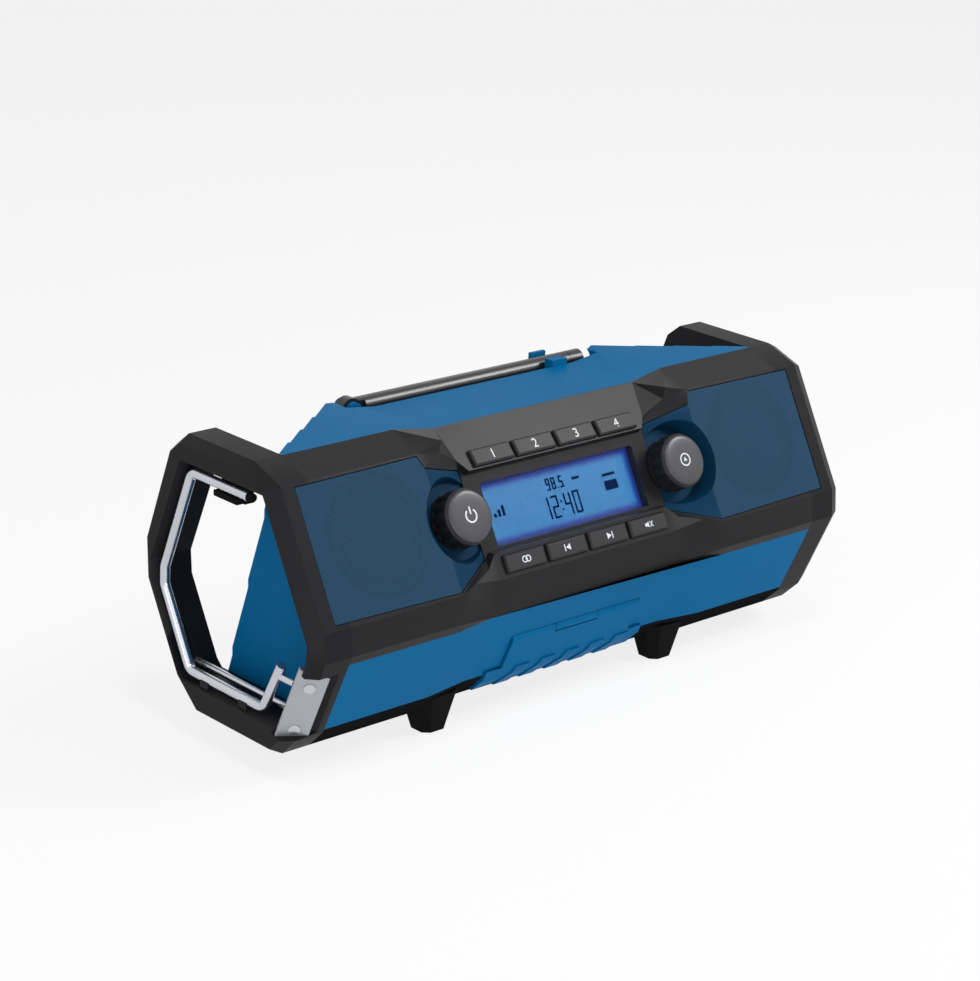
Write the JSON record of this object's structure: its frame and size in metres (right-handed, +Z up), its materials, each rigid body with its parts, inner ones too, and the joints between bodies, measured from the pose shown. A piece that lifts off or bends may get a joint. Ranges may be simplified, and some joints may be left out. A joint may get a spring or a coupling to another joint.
{
  "type": "jobsite radio",
  "caption": "Faceted jobsite radio with two end-ring handles, speaker grilles, display console, two dials, key rows, folding aerial, hanging hook, socket lid and battery bay.",
  "frame": {"origin": "centre of the footprint, on the plane that the feet stand on", "axes": "+Z up, X along the case with the hanging hook at -X, the console faces -Y"},
  "size_m": [0.355, 0.1326, 0.1501],
  "materials": {
    "blue_plastic": "fine-textured injection moulded plastic",
    "charcoal_plastic": "fine-grained matt plastic",
    "ring_plastic": "grained impact-resistant plastic",
    "grille_metal": "powder-coated steel",
    "key_rubber": "smooth silicone",
    "knob_plastic": "fluted, satin",
    "lens": "clear polycarbonate",
    "display": "lit liquid crystal cell",
    "foot_rubber": "matt",
    "bright_steel": "zinc plated",
    "aerial_metal": "dark plated tube",
    "cone_paper": "pressed cone",
    "magnet": "ferrite",
    "board": "glass-epoxy board",
    "component": "moulded packages",
    "brass": "plated contact",
    "liner_plastic": "plain inner moulding"
  },
  "bodies": {
    "case": {"front_fascia": "charcoal_plastic", "front_lower_shell": "blue_plastic", "rear_shell": "blue_plastic", "top_shell": "blue_plastic", "bottom_tray": "charcoal_plastic", "left_end_ring": "ring_plastic", "right_end_ring": "ring_plastic", "speaker_grille_left": "grille_metal", "speaker_grille_right": "grille_metal", "speaker_basket_left": "bright_steel", "speaker_basket_right": "bright_steel", "speaker_cone_left": "cone_paper", "speaker_cone_right": "cone_paper", "speaker_magnet_left": "magnet", "speaker_magnet_right": "magnet", "speaker_screws": "bright_steel", "power_encoder": "component", "source_encoder": "component", "key_switches": "component", "upper_key_board": "board", "lower_key_board": "board", "display_lens": "lens", "display_frame": "liner_plastic", "display_panel": "display", "display_board": "board", "main_board": "board", "board_components": "component", "battery_bay": "liner_plastic", "battery_terminal_block": "charcoal_plastic", "battery_contacts": "brass", "supply_inlet": "component", "socket_bay": "liner_plastic", "socket_lid_pin": "bright_steel", "aux_jack": "component", "usb_socket": "bright_steel", "aerial_pivot_pin": "bright_steel", "hook_guard_rod": "bright_steel", "hook_plate": "bright_steel", "plate_rivets": "bright_steel", "hook_clip": "charcoal_plastic", "case_screws": "bright_steel", "ring_screws": "bright_steel", "front_feet": "foot_rubber", "rear_feet": "foot_rubber"},
    "power_dial": {"power_knob": "knob_plastic", "power_dial_shaft": "bright_steel"},
    "source_dial": {"source_knob": "knob_plastic", "source_dial_shaft": "bright_steel"},
    "preset_key_1": {"preset_key_1": "key_rubber"},
    "preset_key_2": {"preset_key_2": "key_rubber"},
    "preset_key_3": {"preset_key_3": "key_rubber"},
    "preset_key_4": {"preset_key_4": "key_rubber"},
    "link_key": {"link_key": "key_rubber"},
    "previous_key": {"previous_key": "key_rubber"},
    "next_key": {"next_key": "key_rubber"},
    "mute_key": {"mute_key": "key_rubber"},
    "socket_lid": {"socket_lid": "blue_plastic"},
    "hook": {"hanging_hook": "bright_steel"},
    "aerial": {"aerial_rod": "aerial_metal"},
    "aerial_section": {"aerial_inner_rod": "aerial_metal"}
  },
  "joints": [
    {"name": "power_dial_turn", "type": "hinge", "parent": "case", "child": "power_dial", "pos_m": [-0.072, -0.05038, 0.11318], "axis": [0, -0.8796, 0.4756], "continuous": true},
    {"name": "source_dial_turn", "type": "hinge", "parent": "case", "child": "source_dial", "pos_m": [0.072, -0.05038, 0.11318], "axis": [0, -0.8796, 0.4756], "continuous": true},
    {"name": "preset_key_1_press", "type": "slide", "parent": "case", "child": "preset_key_1", "axis": [0, 0.7308, -0.6826], "range_m": [0, 0.001], "stiffness_N_per_m": 400, "springref_m": -0.001},
    {"name": "preset_key_2_press", "type": "slide", "parent": "case", "child": "preset_key_2", "axis": [0, 0.7308, -0.6826], "range_m": [0, 0.001], "stiffness_N_per_m": 400, "springref_m": -0.001},
    {"name": "preset_key_3_press", "type": "slide", "parent": "case", "child": "preset_key_3", "axis": [0, 0.7308, -0.6826], "range_m": [0, 0.001], "stiffness_N_per_m": 400, "springref_m": -0.001},
    {"name": "preset_key_4_press", "type": "slide", "parent": "case", "child": "preset_key_4", "axis": [0, 0.7308, -0.6826], "range_m": [0, 0.001], "stiffness_N_per_m": 400, "springref_m": -0.001},
    {"name": "link_key_press", "type": "slide", "parent": "case", "child": "link_key", "axis": [0, 0.8796, -0.4756], "range_m": [0, 0.001], "stiffness_N_per_m": 400, "springref_m": -0.001},
    {"name": "previous_key_press", "type": "slide", "parent": "case", "child": "previous_key", "axis": [0, 0.8796, -0.4756], "range_m": [0, 0.001], "stiffness_N_per_m": 400, "springref_m": -0.001},
    {"name": "next_key_press", "type": "slide", "parent": "case", "child": "next_key", "axis": [0, 0.8796, -0.4756], "range_m": [0, 0.001], "stiffness_N_per_m": 400, "springref_m": -0.001},
    {"name": "mute_key_press", "type": "slide", "parent": "case", "child": "mute_key", "axis": [0, 0.8796, -0.4756], "range_m": [0, 0.001], "stiffness_N_per_m": 400, "springref_m": -0.001},
    {"name": "socket_lid_hinge", "type": "hinge", "parent": "case", "child": "socket_lid", "pos_m": [0, -0.05038, 0.04356], "axis": [-1, 0, 0], "range_deg": [0, 100]},
    {"name": "hook_swing", "type": "hinge", "parent": "case", "child": "hook", "pos_m": [-0.174, 0, 0.0325], "axis": [0, -1, 0], "range_deg": [0, 90]},
    {"name": "aerial_fold", "type": "hinge", "parent": "case", "child": "aerial", "pos_m": [-0.07501, 0.0385, 0.1441], "axis": [0, -1, 0], "range_deg": [0, 90]},
    {"name": "aerial_draw", "type": "slide", "parent": "aerial", "child": "aerial_section", "axis": [1, 0, 0], "range_m": [0, 0.07]}
  ]
}
